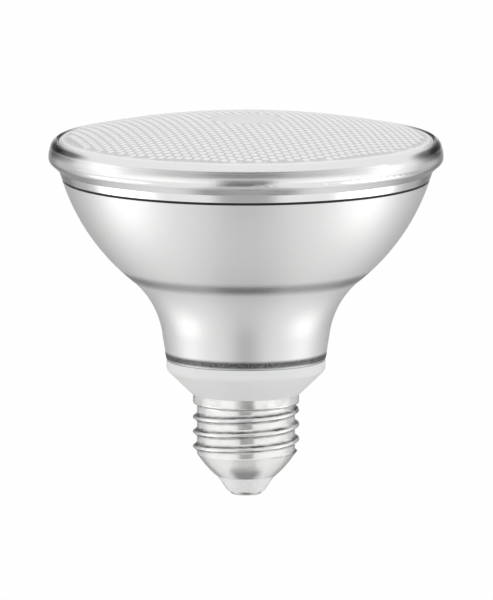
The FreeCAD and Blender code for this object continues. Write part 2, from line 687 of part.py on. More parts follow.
def front_lens():
    """The clear dished lens with an upright rim that stands on the bezel's ledge."""
    wall_top = f"({LENS_SEAT} + lens_wall_height)"
    edge_top = f"({wall_top} + lens_edge_height)"
    centre = f"({edge_top} - sqrt(lens_dome_round ^ 2 - {LENS_FACE_RADIUS} ^ 2))"
    inner_round = "(lens_dome_round - lens_thickness)"
    rim_bore = "(lens_radius - lens_rim_width)"
    inner_edge = f"({centre} + sqrt({inner_round} ^ 2 - {rim_bore} ^ 2))"
    turned(
        "front_lens",
        [
            ("lens_radius", LENS_SEAT),
            ("lens_radius", wall_top, "lens_edge_round", -1),
            (LENS_FACE_RADIUS, edge_top, "lens_dome_round", -1),
            ("0", f"{centre} + lens_dome_round"),
            ("0", f"{centre} + {inner_round}", inner_round, 1),
            (rim_bore, inner_edge),
            (rim_bore, LENS_SEAT),
        ],
    )


# Light source
def screw_tools(name, radius, foot, height):
    """One cylinder at each screw place."""
    tools = []
    for index in range(SCREWS):
        x, y = on_circle(SCREW_CIRCLE, 90 + index * FULL_TURN / SCREWS)
        tools.append(cylinder(f"{name}_{index}", radius, height, (x, y, foot)))
    return tools


def heat_sink():
    """The aluminium plate that carries the lamp board, with a rim round the housing tube."""
    plate_radius = f"({CREASE_RADIUS} - shell_wall - sink_edge_gap)"
    rim_bore = f"({TUBE_RADIUS} + fit_clearance)"
    rim_radius = f"({rim_bore} + sink_rim_width)"
    rim_foot = f"({SINK_FOOT} - sink_rim_height)"
    body = DOCUMENT.addObject("PartDesign::Body", "sink_body")
    revolve(
        body,
        "sink_turning",
        [
            ("wire_hole_radius", SINK_FOOT),
            (rim_bore, SINK_FOOT),
            (rim_bore, rim_foot),
            (rim_radius, rim_foot),
            (rim_radius, SINK_FOOT),
            (plate_radius, SINK_FOOT),
            (plate_radius, SINK_TOP),
            ("wire_hole_radius", SINK_TOP),
        ],
    )
    holes = screw_tools(
        "sink_hole", "screw_radius + fit_clearance", f"{SINK_FOOT} - sink_thickness", "3 * sink_thickness"
    )
    keep(cut("sink_cut", body, gather("sink_holes", holes)), "heat_sink")


def led_board():
    radius = f"{SCREW_CIRCLE} + led_board_margin"
    disc = cylinder("led_disc", radius, "board_thickness", ("0", "0", SINK_TOP))
    low = f"{SINK_TOP} - board_thickness"
    holes = screw_tools("led_hole", "screw_radius + fit_clearance", low, "3 * board_thickness")
    holes.append(cylinder("led_wire_hole", "wire_hole_radius", "3 * board_thickness", ("0", "0", low)))
    keep(cut("led_cut", disc, gather("led_holes", holes)), "led_board")


def led_chips():
    """Two rings of light chips on the lamp board; the inner one leaves room for the wires."""
    chips = []
    size = ("chip_side", "chip_side", "chip_height")
    outer = f"{SCREW_CIRCLE} - outer_chip_inset"
    rings = ((outer, OUTER_CHIP_ANGLES), (f"{outer} - chip_ring_step", INNER_CHIP_ANGLES))
    for circle, angles in rings:
        for angle in angles:
            x, y = on_circle(circle, angle)
            corner = (f"{x} - chip_side / 2", f"{y} - chip_side / 2", LED_TOP)
            chips.append(block(f"chip_{len(chips)}", size, corner))
    keep(gather("chips", chips), "led_chips")


def board_screws():
    """Three screws through the lamp board and the heat sink into the housing."""
    shanks = screw_tools("shank", "screw_radius", f"{LED_TOP} - screw_length", "screw_length")
    heads = screw_tools("head", "screw_head_radius", LED_TOP, "screw_head_height")
    screws = [fuse(f"screw_{i}", [shanks[i], heads[i]]) for i in range(SCREWS)]
    keep(gather("screws", screws), "board_screws")


# Driver
def driver_board():
    size = (f"2 * {DRIVER_HALF}", "board_thickness", f"{DRIVER_TOP} - {DRIVER_FOOT}")
    corner = (f"-{DRIVER_HALF}", f"-{BOARD_FACE}", DRIVER_FOOT)
    keep(block("driver_sheet", size, corner), "driver_board")


FRONT = f"({BOARD_FACE} + part_gap)"


def transformer():
    """A ferrite core with two side bars and a middle bar, and the winding round the middle bar."""
    far = f"-({FRONT} + core_depth)"
    core_far = f"({far} + winding_wall)"
    ferrite_depth = "(core_depth - 2 * winding_wall)"
    core_size = ("core_width", ferrite_depth, "core_height")
    outer = block("core_outer", core_size, ("-core_width / 2", core_far, CORE_FOOT))
    window_width = "(core_width / 2 - 1.5 * core_bar)"
    window_height = "(core_height - 2 * core_bar)"
    windows = []
    for side in (-1, 1):
        x = "core_bar / 2" if side > 0 else f"-core_bar / 2 - {window_width}"
        size = (window_width, "core_depth + 2 * core_bar", window_height)
        corner = (x, f"{far} - core_bar", f"{CORE_FOOT} + core_bar")
        windows.append(block(f"core_window_{side + 1}", size, corner))
    keep(cut("core_cut", outer, gather("core_windows", windows)), "transformer_core")
    coil_half = f"({window_width} + core_bar / 2 - winding_gap)"
    coil_height = f"({window_height} - 2 * winding_gap)"
    coil_foot = f"({CORE_FOOT} + core_bar + winding_gap)"
    coil_size = (f"2 * {coil_half}", "core_depth", coil_height)
    coil = block("coil_outer", coil_size, (f"-{coil_half}", far, coil_foot))
    slot_size = ("core_bar + 2 * winding_gap", f"{ferrite_depth} + 2 * winding_gap", "core_height")
    slot_corner = ("-core_bar / 2 - winding_gap", f"{core_far} - winding_gap", CORE_FOOT)
    slot = block("coil_slot", slot_size, slot_corner)
    keep(cut("coil_cut", coil, slot), "transformer_winding")


def capacitor_can(label, height, side):
    """An electrolytic capacitor: an upright can with a rolled groove near its foot."""
    body = DOCUMENT.addObject("PartDesign::Body", f"{label}_body")
    neck = "(can_radius - can_bead_depth)"
    half = "can_bead_depth"
    revolve(
        body,
        f"{label}_turning",
        [
            ("0", "0"),
            ("can_radius", "0"),
            ("can_radius", f"can_bead_drop - {half}"),
            (neck, "can_bead_drop"),
            ("can_radius", f"can_bead_drop + {half}"),
            ("can_radius", f"{height} - {half}"),
            (neck, height),
            ("0", height),
        ],
    )
    middle = f"{side} * (can_spread + can_radius)"
    place(body, (middle, f"{FRONT} + can_radius", f"{DRIVER_FOOT} + can_rise"))
    keep(body, label)


def choke():
    """A drum choke: a ferrite bobbin on the board with its coil between the flanges."""
    base = ("0", FRONT, UPPER_ROW)
    hub = cylinder("choke_hub", "choke_hub_radius", "choke_depth", base, "Y")
    near = cylinder("choke_near", "choke_radius", "choke_flange", base, "Y")
    far_base = ("0", f"{FRONT} + choke_depth - choke_flange", UPPER_ROW)
    far = cylinder("choke_far", "choke_radius", "choke_flange", far_base, "Y")
    keep(fuse("choke_drum", [hub, near, far]), "choke_core")
    length = "(choke_depth - 2 * choke_flange - 2 * part_gap)"
    coil_base = ("0", f"{FRONT} + choke_flange + part_gap", UPPER_ROW)
    coil = cylinder("choke_coil", "choke_radius - fit_clearance", length, coil_base, "Y")
    bore = cylinder("choke_bore", "choke_hub_radius + part_gap", length, coil_base, "Y")
    keep(cut("choke_cut", coil, bore), "choke_winding")


def film_capacitor():
    size = ("film_width", "film_depth", "film_height")
    near = f"{CORE_SIDE_END} + component_gap"
    corner = (near, f"-{FRONT} - film_depth", f"{DRIVER_FOOT} + part_gap")
    box = block("film_block", size, corner)
    rounded = round_edges(
        "film_rounded",
        box,
        "film_corner",
        lambda edge: edge.CenterOfMass.y < number(f"-{FRONT} - part_gap"),
    )
    keep(rounded, "film_capacitor")


def package(label, size, middle, leads):
    """A black moulded package on the board with its leads on two sides."""
    width, depth, height = size
    x, z = middle
    body = block(
        f"{label}_block",
        (width, depth, height),
        (f"{x} - {width} / 2", FRONT, f"{z} - {height} / 2"),
    )
    solids = [body]
    for side in (-1, 1):
        for index in range(leads):
            step = f"{height} * {(index + 0.5) / leads}"
            corner = (
                f"{x} + {side} * ({width} / 2 + lead_reach / 2) - lead_reach",
                f"{FRONT} + lead_thickness",
                f"{z} - {height} / 2 + {step} - lead_width / 2",
            )
            lead_size = ("2 * lead_reach", "lead_thickness", "lead_width")
            solids.append(block(f"{label}_lead_{side + 1}_{index}", lead_size, corner))
    keep(fuse(f"{label}_fuse", solids), label)


def driver_packages():
    offset = f"({DRIVER_HALF} - pack_inset)"
    bridge_size = ("bridge_side", "bridge_depth", "bridge_side")
    package("bridge_rectifier", bridge_size, (f"-{offset}", UPPER_ROW), 2)
    chip_size = ("chip_pack_width", "chip_pack_depth", "chip_pack_height")
    package("driver_chip", chip_size, (offset, UPPER_ROW), 4)


def fuse_resistor():
    """An axial resistor lying on the board, swollen at its ends."""
    level = f"({DRIVER_FOOT} + fuse_rise)"
    y = f"-({FRONT} + fuse_radius)"
    start = "-fuse_length / 2"
    body = cylinder("fuse_body", "fuse_radius - fuse_cap_swell", "fuse_length", (start, y, level), "X")
    left = cylinder("fuse_left", "fuse_radius", "fuse_cap_length", (start, y, level), "X")
    right_base = ("fuse_length / 2 - fuse_cap_length", y, level)
    right = cylinder("fuse_right", "fuse_radius", "fuse_cap_length", right_base, "X")
    keep(fuse("fuse_whole", [body, left, right]), "fuse_resistor")


def surge_varistor():
    middle = f"-({CORE_SIDE_END} + varistor_radius)"
    base = (middle, f"-({FRONT} + varistor_depth)", f"{DRIVER_FOOT} + varistor_rise")
    disc = cylinder("varistor_disc", "varistor_radius", "varistor_depth", base, "Y")
    rounded = round_edges(
        "varistor_rounded", disc, "varistor_round", lambda edge: len(edge.Vertexes) == 1
    )
    keep(rounded, "surge_varistor")


# Wires
def wire(label, route):
    """An insulated wire: straight runs joined by tangent arcs, as one pipe."""
    points = [FreeCAD.Vector(*(number(value) for value in point)) for point in route]
    radius = number("wire_radius")
    edges = []
    start = points[0]
    for before, corner, after in zip(points, points[1:], points[2:]):
        back = (before - corner).normalize()
        on = (after - corner).normalize()
        shorter = min((before - corner).Length, (after - corner).Length)
        reach = BEND_SHARE * shorter
        turn = math.pi - back.getAngle(on)
        bend = reach / math.tan(turn / 2)
        first = corner + back * reach
        last = corner + on * reach
        towards = (back + on).normalize()
        deepest = corner + towards * (math.hypot(bend, reach) - bend)
        edges.append(Part.LineSegment(start, first).toShape())
        edges.append(Part.Arc(first, deepest, last).toShape())
        print(f"{label}: bend of radius {bend:.1f} mm")
        start = last
    edges.append(Part.LineSegment(start, points[-1]).toShape())
    path = Part.Wire(edges)
    disc = Part.Wire(Part.makeCircle(radius, points[0], points[1] - points[0]))
    pipe = path.makePipeShell([disc], True, True)
    solid = DOCUMENT.addObject("Part::Feature", f"{label}_pipe")
    solid.Shape = pipe
    solid.Placement = FreeCAD.Placement()
    keep(solid, label)


def wires():
    """The cap's two wires and the lamp board's two wires."""
    face = f"-({FRONT} + wire_radius)"
    top = f"{DRIVER_FOOT} + wire_lap"
    bend = f"{DRIVER_FOOT} - wire_bend_drop"
    stem_top = f"({CAP_EDGE} + insulator_plug_height + contact_stem_rise)"
    wire(
        "live_wire",
        [
            ("wire_spread", face, top),
            ("wire_spread", face, bend),
            ("0", "0", f"{stem_top} + wire_foot"),
            ("0", "0", stem_top),
        ],
    )
    low = f"{HOUSING_FOOT} - 2 * wire_radius - fit_clearance"
    shell = "(thread_root_radius - cap_wall)"
    wire(
        "neutral_wire",
        [
            ("-wire_spread", face, top),
            ("-wire_spread", face, bend),
            (f"-{shell} + neutral_foot", "0", low),
            (f"-{shell} + fit_clearance", "0", low),
        ],
    )
    over = f"{LED_TOP} + wire_radius + part_gap"
    for label, side in (("led_wire_positive", 1), ("led_wire_negative", -1)):
        x = f"{side} * lamp_wire_spread"
        wire(
            label,
            [
                (x, face, f"{DRIVER_TOP} - lamp_wire_lap"),
                (x, face, over),
                (f"{side} * (lamp_wire_spread + lamp_wire_reach)", face, over),
            ],
        )


def check():
    """Stops if any object of the document failed or any piece is null or not valid."""
    DOCUMENT.recompute()
    for thing in DOCUMENT.Objects:
        if "Invalid" in thing.State or "Error" in thing.State:
            raise RuntimeError(f"{thing.Name} is {thing.State}")
    for piece in PIECES:
        if piece.Shape.isNull() or not piece.Shape.isValid() or not piece.Shape.Solids:
            raise RuntimeError(f"{piece.Label} has no valid solid")


def write():
    """Writes each piece to its own file, named by its label."""
    os.makedirs("parts", exist_ok=True)
    for piece in PIECES:
        piece.Shape.exportStep(f"parts/{piece.Label}.step")
        box = piece.Shape.BoundBox
        solids = len(piece.Shape.Solids)
        print(f"{piece.Label}: {solids} solids, {piece.Shape.Volume:.1f} mm3, top {box.ZMax:.2f}")


centre_contact()
cap_insulator()
screw_shell()
base_housing()
reflector_shell()
rim_gasket()
bezel_ring()
front_lens()
heat_sink()
led_board()
led_chips()
board_screws()
driver_board()
transformer()
capacitor_can("input_capacitor", "input_can_height", -1)
capacitor_can("output_capacitor", "output_can_height", 1)
choke()
film_capacitor()
driver_packages()
fuse_resistor()
surge_varistor()
wires()
check()
write()
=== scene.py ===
# %% [markdown]
# This lesson dresses a par spotlight bulb: a flared metal shell with a bright rim, a clear lens
# pressed with small pillows, a white collar and a screw cap. The construction comes in ready made
# as a frame of named pieces, so what is left for us is finish, light and the fine forms.

# %% Load the frame
import math

import bmesh
import bpy
from mathutils import Matrix, Vector


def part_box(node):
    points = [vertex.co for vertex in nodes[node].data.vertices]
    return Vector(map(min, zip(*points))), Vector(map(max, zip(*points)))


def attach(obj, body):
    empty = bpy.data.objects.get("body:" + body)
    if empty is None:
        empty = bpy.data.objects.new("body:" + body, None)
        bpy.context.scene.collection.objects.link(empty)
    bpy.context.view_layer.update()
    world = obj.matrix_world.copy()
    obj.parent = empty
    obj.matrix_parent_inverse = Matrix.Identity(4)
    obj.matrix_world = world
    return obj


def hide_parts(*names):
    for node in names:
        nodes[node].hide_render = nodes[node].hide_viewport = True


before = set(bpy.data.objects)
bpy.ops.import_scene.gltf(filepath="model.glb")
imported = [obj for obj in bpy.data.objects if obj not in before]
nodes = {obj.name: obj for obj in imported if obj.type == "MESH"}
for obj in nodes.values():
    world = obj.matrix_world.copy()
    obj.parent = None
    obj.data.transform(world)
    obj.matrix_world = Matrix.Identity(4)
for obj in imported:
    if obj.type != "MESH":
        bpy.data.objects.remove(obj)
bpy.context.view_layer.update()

scene = bpy.context.scene
print(f"loaded {len(nodes)} pieces")

# %% [markdown]
# Blender works in metres and a lamp maker in millimetres. One factor keeps the sizes below
# readable.

# %% Millimetres
MM = 0.001


def size_of(node):
    """A piece's largest radius, its lowest and its highest point, in millimetres."""
    low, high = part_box(node)
    return high.x / MM, low.z / MM, high.z / MM


LENS_RADIUS, LENS_FOOT, LENS_TOP = size_of("front_lens")
print(f"lens: radius {LENS_RADIUS:.2f}, from {LENS_FOOT:.2f} up to {LENS_TOP:.2f} mm")

# %% [markdown]
# Every finish starts from the same shader, so a small class keeps the wiring short: it makes a
# material, sets plain numbers on the shader's own sockets, and joins texture nodes to it.
# Patterns read Object coordinates, because each piece keeps its place in its mesh and the
# pattern then has a real size.


# %% Finish helper
class Finish:
    def __init__(self, name, colour, roughness, metallic=0.0):
        self.material = bpy.data.materials.new(name)
        self.material.use_nodes = True
        self.tree = self.material.node_tree
        self.shader = self.tree.nodes["Principled BSDF"]
        self.set(Roughness=roughness, Metallic=metallic)
        self.shader.inputs["Base Color"].default_value = (*colour, 1.0)
        self.place = self.node("ShaderNodeTexCoord").outputs["Object"]
        self.bump_before = None

    def set(self, **values):
        for name, value in values.items():
            self.shader.inputs[name.replace("_", " ")].default_value = value

    def node(self, kind, **settings):
        made = self.tree.nodes.new(kind)
        for name, value in settings.items():
            setattr(made, name, value)
        return made

    def join(self, source, target):
        self.tree.links.new(source, target)

    def maths(self, operation, first, second=None):
        made = self.node("ShaderNodeMath", operation=operation)
        for socket, value in zip(made.inputs, (first, second)):
            if value is None:
                continue
            if isinstance(value, (int, float)):
                socket.default_value = value
            else:
                self.join(value, socket)
        return made.outputs[0]

    def noise(self, grain, detail=2.0, place=None):
        """Soft random patches; grain is their size in millimetres."""
        made = self.node("ShaderNodeTexNoise")
        made.inputs["Scale"].default_value = 1.0 / (grain * MM)
        made.inputs["Detail"].default_value = detail
        self.join(place or self.place, made.inputs["Vector"])
        return made.outputs["Fac"]

    def axis_distance(self):
        split = self.node("ShaderNodeSeparateXYZ")
        self.join(self.place, split.inputs[0])
        flat = self.maths("POWER", split.outputs["X"], 2.0)
        deep = self.maths("POWER", split.outputs["Y"], 2.0)
        return self.maths("SQRT", self.maths("ADD", flat, deep))

    def ring_place(self):
        """Coordinates that only change with the radius and the height, as on turned work."""
        split = self.node("ShaderNodeSeparateXYZ")
        self.join(self.place, split.inputs[0])
        rings = self.node("ShaderNodeCombineXYZ")
        self.join(self.axis_distance(), rings.inputs["X"])
        self.join(split.outputs["Z"], rings.inputs["Z"])
        return rings.outputs[0]

    def between(self, source, low, high, start=0.3, end=0.7):
        """Stretches a pattern so that it runs from low to high."""
        made = self.node("ShaderNodeMapRange")
        limits = {"From Min": start, "From Max": end, "To Min": low, "To Max": high}
        for name, value in limits.items():
            made.inputs[name].default_value = value
        self.join(source, made.inputs["Value"])
        return made.outputs["Result"]

    def zone(self, low, high, soft):
        """One between two heights in millimetres, fading to nothing over a soft edge."""
        split = self.node("ShaderNodeSeparateXYZ")
        self.join(self.place, split.inputs[0])
        edges = []
        for start, end in ((low - soft, low + soft), (high + soft, high - soft)):
            fade = self.node("ShaderNodeMapRange", interpolation_type="SMOOTHSTEP")
            fade.inputs["From Min"].default_value = start * MM
            fade.inputs["From Max"].default_value = end * MM
            self.join(split.outputs["Z"], fade.inputs["Value"])
            edges.append(fade.outputs["Result"])
        return self.maths("MULTIPLY", *edges)

    def vary_roughness(self, source, low, high, start=0.3, end=0.7):
        self.join(self.between(source, low, high, start, end), self.shader.inputs["Roughness"])

    def vary_colour(self, source, dark, light, start=0.3, end=0.7):
        ramp = self.node("ShaderNodeValToRGB")
        ramp.color_ramp.elements[0].color = (*dark, 1.0)
        ramp.color_ramp.elements[1].color = (*light, 1.0)
        self.join(self.between(source, 0.0, 1.0, start, end), ramp.inputs["Fac"])
        self.join(ramp.outputs["Color"], self.shader.inputs["Base Color"])

    def bump(self, source, height):
        """Raises the surface by the pattern, with the height in millimetres."""
        made = self.node("ShaderNodeBump")
        made.inputs["Distance"].default_value = height * MM
        self.join(source, made.inputs["Height"])
        if self.bump_before:
            self.join(self.bump_before, made.inputs["Normal"])
        self.bump_before = made.outputs["Normal"]
        self.join(self.bump_before, self.shader.inputs["Normal"])


# %% [markdown]
# The shell is spun aluminium with a satin anodised skin. Up close such a skin is a fine frost of
# tiny pits, which turns reflections into soft clouds with a slight grain. So the metal is clear
# in tone and middling in roughness, with a very small noise as its frost. The spinning tool
# pressed hardest at the crease, where the skin is smoother. A dark band is painted into the
# colour at the crease as painted shade, and a speckled dark band at the lip of the neck is
# painted shade too.

# %% Satin shell
SATIN = (0.85, 0.85, 0.845)
# painted shade colour, used at the crease and at the lip of the neck
PAINTED_SHADE = (0.06, 0.06, 0.06)
SATIN_ROUGHNESS = 0.4
CREASE = (53.6, 55.9)
CREASE_SOFT = 1.0
CREASE_ROUGHNESS = 0.22
CREASE_SHADE = 0.52
LIP = (33.8, 35.5)
LIP_SOFT = 0.5


def satin_aluminium():
    finish = Finish("satin aluminium", SATIN, SATIN_ROUGHNESS, 0.75)
    crease_band = finish.zone(*CREASE, CREASE_SOFT)
    finish.vary_roughness(crease_band, SATIN_ROUGHNESS, CREASE_ROUGHNESS, 0.0, 1.0)
    lip_band = finish.zone(*LIP, LIP_SOFT)
    speckle = finish.between(finish.noise(0.35, 2.0), 0.78, 1.0, 0.38, 0.62)
    lip_shade = finish.maths("MULTIPLY", lip_band, speckle)
    # painted shade: the colour darkens in a band at the crease and in a speckled band at the lip
    # of the neck
    dark = finish.maths("MAXIMUM", lip_shade, finish.maths("MULTIPLY", crease_band, CREASE_SHADE))
    finish.vary_colour(dark, SATIN, PAINTED_SHADE, 0.0, 1.0)
    finish.bump(finish.noise(0.3, 3.0), 0.009)
    return finish.material


# %% [markdown]
# The rim is the same metal polished and plated. It was turned on a lathe, so faint rings run
# round it. The rings are noise that reads only the radius and the height.


# %% Bright rim
def bright_rim():
    finish = Finish("bright rim", (0.93, 0.93, 0.925), 0.12, 1.0)
    rings = finish.ring_place()
    finish.vary_roughness(finish.noise(0.5, 2.0), 0.12, 0.2)
    finish.bump(finish.noise(0.3, 3.0, rings), 0.007)
    finish.bump(finish.noise(0.3, 2.0), 0.007)
    return finish.material


# %% [markdown]
# The screw cap is thin nickel-plated sheet that was rolled on a former. It is bright, yet its
# ridges waver a little, because thin sheet never follows the former exactly. Crests and valleys
# keep the bright plate, while the flanks between them get painted shade: dark lines in the
# colour, stronger in some places than others. The flanks are found by their radius, and a little
# noise lets the dark lines waver.


# %% Cap metal
PLATED = (0.95, 0.945, 0.935)
# painted shade colour for the flanks of the thread
FLANK_PAINTED_SHADE = (0.08, 0.08, 0.08)
FLANK_RADIUS = 12.6
FLANK_HALF = 0.28
FLANK_FULL = 0.3 * FLANK_HALF
FLANK_GONE = 1.6 * FLANK_HALF
FLANK_WAVER = 0.5


def cap_metal():
    finish = Finish("nickel plated cap", PLATED, 0.16, 0.68)
    waver = finish.maths("MULTIPLY", finish.noise(2.2, 2.0), FLANK_WAVER * MM)
    off = finish.maths("ADD", finish.axis_distance(), waver)
    middle = (FLANK_RADIUS + FLANK_WAVER / 2.0) * MM
    off = finish.maths("ABSOLUTE", finish.maths("SUBTRACT", off, middle))
    # painted shade: the colour darkens on the flanks of the thread, in wavering dark lines
    flank_shade = finish.between(off, 1.0, 0.0, FLANK_FULL * MM, FLANK_GONE * MM)
    shade_patches = finish.between(finish.noise(4.0, 1.0), 0.5, 1.0, 0.35, 0.65)
    finish.vary_colour(finish.maths("MULTIPLY", flank_shade, shade_patches), PLATED, FLANK_PAINTED_SHADE, 0.0, 1.0)
    finish.vary_roughness(finish.noise(1.5), 0.13, 0.22)
    finish.bump(finish.noise(3.5, 1.0), 0.16)
    finish.bump(finish.noise(0.3, 2.0), 0.002)
    return finish.material


def contact_metal():
    finish = Finish("tinned contact", (0.72, 0.71, 0.69), 0.3, 1.0)
    finish.vary_roughness(finish.noise(0.8), 0.22, 0.4)
    finish.bump(finish.noise(0.6, 2.0), 0.02)
    return finish.material


# %% [markdown]
# The collar is moulded white plastic with a satin skin, and the insulator under the cap is a
# harder and glossier white. A trace of light goes into both, which subsurface scattering gives.


# %% Whites
def white_plastic():
    finish = Finish("white collar", (0.84, 0.84, 0.835), 0.45)
    finish.set(Subsurface_Weight=0.15, Subsurface_Scale=0.0012)
    finish.vary_roughness(finish.noise(2.0), 0.42, 0.5)
    finish.bump(finish.noise(0.25, 2.0), 0.004)
    return finish.material


def white_insulator():
    finish = Finish("white insulator", (0.97, 0.97, 0.965), 0.28)
    finish.set(Subsurface_Weight=0.2, Subsurface_Scale=0.001)
    finish.vary_roughness(finish.noise(1.5), 0.24, 0.34)
    finish.bump(finish.noise(0.4, 2.0), 0.003)
    return finish.material


# %% [markdown]
# The lens is clear, yet from outside it looks milky, because its pillows scatter the light of the
# bright room. Full transmission is the true way to make clear glass, and it can be tried here by
# raising one number. The share that goes through is a small one instead, with the rest coming
# back as frosty white. The valleys between the pillows are painted darker as painted shade and
# the crowns white as painted highlight, so the mesh of the lens carries how high each point
# stands, and the colour reads that.


# %% Clear lens
CLEAR = (0.96, 0.965, 0.965)
# painted shade in the valleys between the pillows, and white crowns as painted highlight
VALLEY_SHADE = (0.68, 0.685, 0.685)
CROWN_HIGHLIGHT = (1.0, 1.0, 1.0)


def clear_lens():
    finish = Finish("clear lens", CLEAR, 0.12)
    finish.set(Transmission_Weight=0.1, IOR=1.49, Specular_IOR_Level=0.4)
    shade_tone = finish.node("ShaderNodeAttribute", attribute_name="pillow_shade_tone")
    # painted shade in the valleys and painted highlight on the crowns, read from each point's
    # tone
    finish.vary_colour(shade_tone.outputs["Fac"], VALLEY_SHADE, CROWN_HIGHLIGHT, 0.0, 0.4)
    return finish.material


# %% [markdown]
# What is sealed inside gets its own finishes too, because the lens lets some of it through:
# boards, chips, ferrite, tape, sleeves and wire.


# %% Inner finishes
def speckled(name, colour, roughness, grain=1.0, change=0.12, metallic=0.0):
    """A finish whose colour and skin vary a little over the piece."""
    finish = Finish(name, colour, roughness, metallic)
    dark = tuple(value * (1.0 - change) for value in colour)
    light = tuple(min(value * (1.0 + change), 1.0) for value in colour)
    finish.vary_colour(finish.noise(grain), dark, light)
    finish.bump(finish.noise(grain / 2.0, 3.0), 0.01)
    return finish.material


def wound(name, colour, roughness, pitch, metallic=0.0):
    """A finish with the ridges of thin wire or tape laid side by side."""
    finish = Finish(name, colour, roughness, metallic)
    wave = finish.node("ShaderNodeTexWave", wave_type="BANDS", bands_direction="Y")
    wave.inputs["Scale"].default_value = 1.0 / (20.0 * pitch * MM)
    finish.join(finish.place, wave.inputs["Vector"])
    finish.bump(wave.outputs["Fac"], pitch * 0.3)
    finish.vary_colour(finish.noise(1.2), tuple(value * 0.8 for value in colour), colour)
    return finish.material


def turned_aluminium():
    finish = Finish("turned aluminium", (0.75, 0.75, 0.745), 0.3, 1.0)
    finish.bump(finish.noise(0.25, 2.0, finish.ring_place()), 0.01)
    finish.vary_roughness(finish.noise(3.0), 0.25, 0.36)
    return finish.material


# %% [markdown]
# Each piece of the frame now takes its finish. A table from piece to finish keeps it short, and
# pieces that share a finish share one material.

# %% Dress the pieces
ferrite = speckled("ferrite", (0.09, 0.09, 0.09), 0.6, 0.6)
sleeve = speckled("capacitor sleeve", (0.08, 0.08, 0.1), 0.3, 2.0)
package = speckled("black package", (0.04, 0.04, 0.04), 0.5, 0.5)
red_wire = speckled("red sleeve", (0.6, 0.05, 0.05), 0.35, 2.0)

FINISHES = {
    "reflector_shell": satin_aluminium(),
    "bezel_ring": bright_rim(),
    "screw_shell": cap_metal(),
    "centre_contact": contact_metal(),
    "base_housing": white_plastic(),
    "cap_insulator": white_insulator(),
    "rim_gasket": speckled("black rubber", (0.015, 0.015, 0.015), 0.6, 0.8),
    "heat_sink": turned_aluminium(),
    "led_board": speckled("white lamp board", (0.86, 0.86, 0.84), 0.35, 2.0, 0.04),
    "led_chips": speckled("yellow chips", (0.85, 0.68, 0.18), 0.3, 0.6, 0.08),
    "board_screws": speckled("zinc plated steel", (0.6, 0.6, 0.58), 0.35, 0.8, 0.1, 1.0),
    "driver_board": speckled("green board", (0.05, 0.22, 0.09), 0.35, 1.5),
    "transformer_core": ferrite,
    "choke_core": ferrite,
    "transformer_winding": wound("yellow tape", (0.85, 0.62, 0.12), 0.35, 1.4),
    "choke_winding": wound("copper wire", (0.72, 0.34, 0.16), 0.3, 0.5, 1.0),
    "input_capacitor": sleeve,
    "output_capacitor": sleeve,
    "film_capacitor": speckled("red coat", (0.55, 0.12, 0.08), 0.3, 1.5),
    "bridge_rectifier": package,
    "driver_chip": package,
    "fuse_resistor": speckled("resistor coat", (0.25, 0.42, 0.3), 0.4, 1.0),
    "surge_varistor": speckled("blue coat", (0.05, 0.14, 0.45), 0.35, 1.5),
    "live_wire": red_wire,
    "led_wire_positive": red_wire,
    "neutral_wire": speckled("blue sleeve", (0.05, 0.12, 0.5), 0.35, 2.0),
    "led_wire_negative": speckled("black sleeve", (0.03, 0.03, 0.03), 0.35, 2.0),
}
for name, material in FINISHES.items():
    for slot in nodes[name].material_slots:
        slot.material = material
print(f"dressed {len(FINISHES)} pieces")

# %% [markdown]
# The lens of the frame is a smooth dished pressing. The real one is covered in more than a
# thousand small pillows that spread the light, and they are what the eye reads from across the
# room. Bump could fake them, but the surface itself would stay smooth, so they are made as one
# closed mesh: the body of the lens is spun from an outline, and its face is a sheet of cells.

# %% Lens sizes
EDGE_HEIGHT = 4.5
EDGE_WIDTH = 0.7
EDGE_ROUND = ((0.0, 0.75), (0.1, 0.4), (0.33, 0.14))
EDGE_TOP = LENS_FOOT + EDGE_HEIGHT
FACE_RADIUS = LENS_RADIUS - EDGE_WIDTH
DOME_RISE = LENS_TOP - EDGE_TOP
DOME_RADIUS = (FACE_RADIUS**2 + DOME_RISE**2) / (2.0 * DOME_RISE)
DOME_CENTRE = LENS_TOP - DOME_RADIUS
LENS_WALL = 2.4
RIM_WALL = 3.0
RIM_BORE = LENS_RADIUS - RIM_WALL
PATTERN_RADIUS = 45.0
LENS_STEPS = 192
DISH_STEPS = 12
LENS_WELD = 0.01


def dome(radius, sphere=DOME_RADIUS):
    """Height of the dome at a distance from the axis."""
    return DOME_CENTRE + math.sqrt(sphere**2 - radius**2)


print(f"dome: radius {DOME_RADIUS:.1f} mm, centre at {DOME_CENTRE:.1f} mm")

# %% [markdown]
# One cell is a hexagon whose sides are cut in two, inset three times. The inner rings are pulled
# onto circles and lifted, which leaves a rounded pillow in a flat six-sided field. Its height is
# kept low, because from the side a tall pillow would hide the valley behind it. Blender starts a
# circle with a corner at the back, and cells that stand in rows one behind the other need a side
# there, so the hexagon is turned by half a corner.

# %% One pillow
CELL = 2.3
PILLOW_RINGS = ((1.02, 0.0), (0.84, 0.10), (0.42, 0.19))
PILLOW_TOP = 0.22
INSET = 0.1


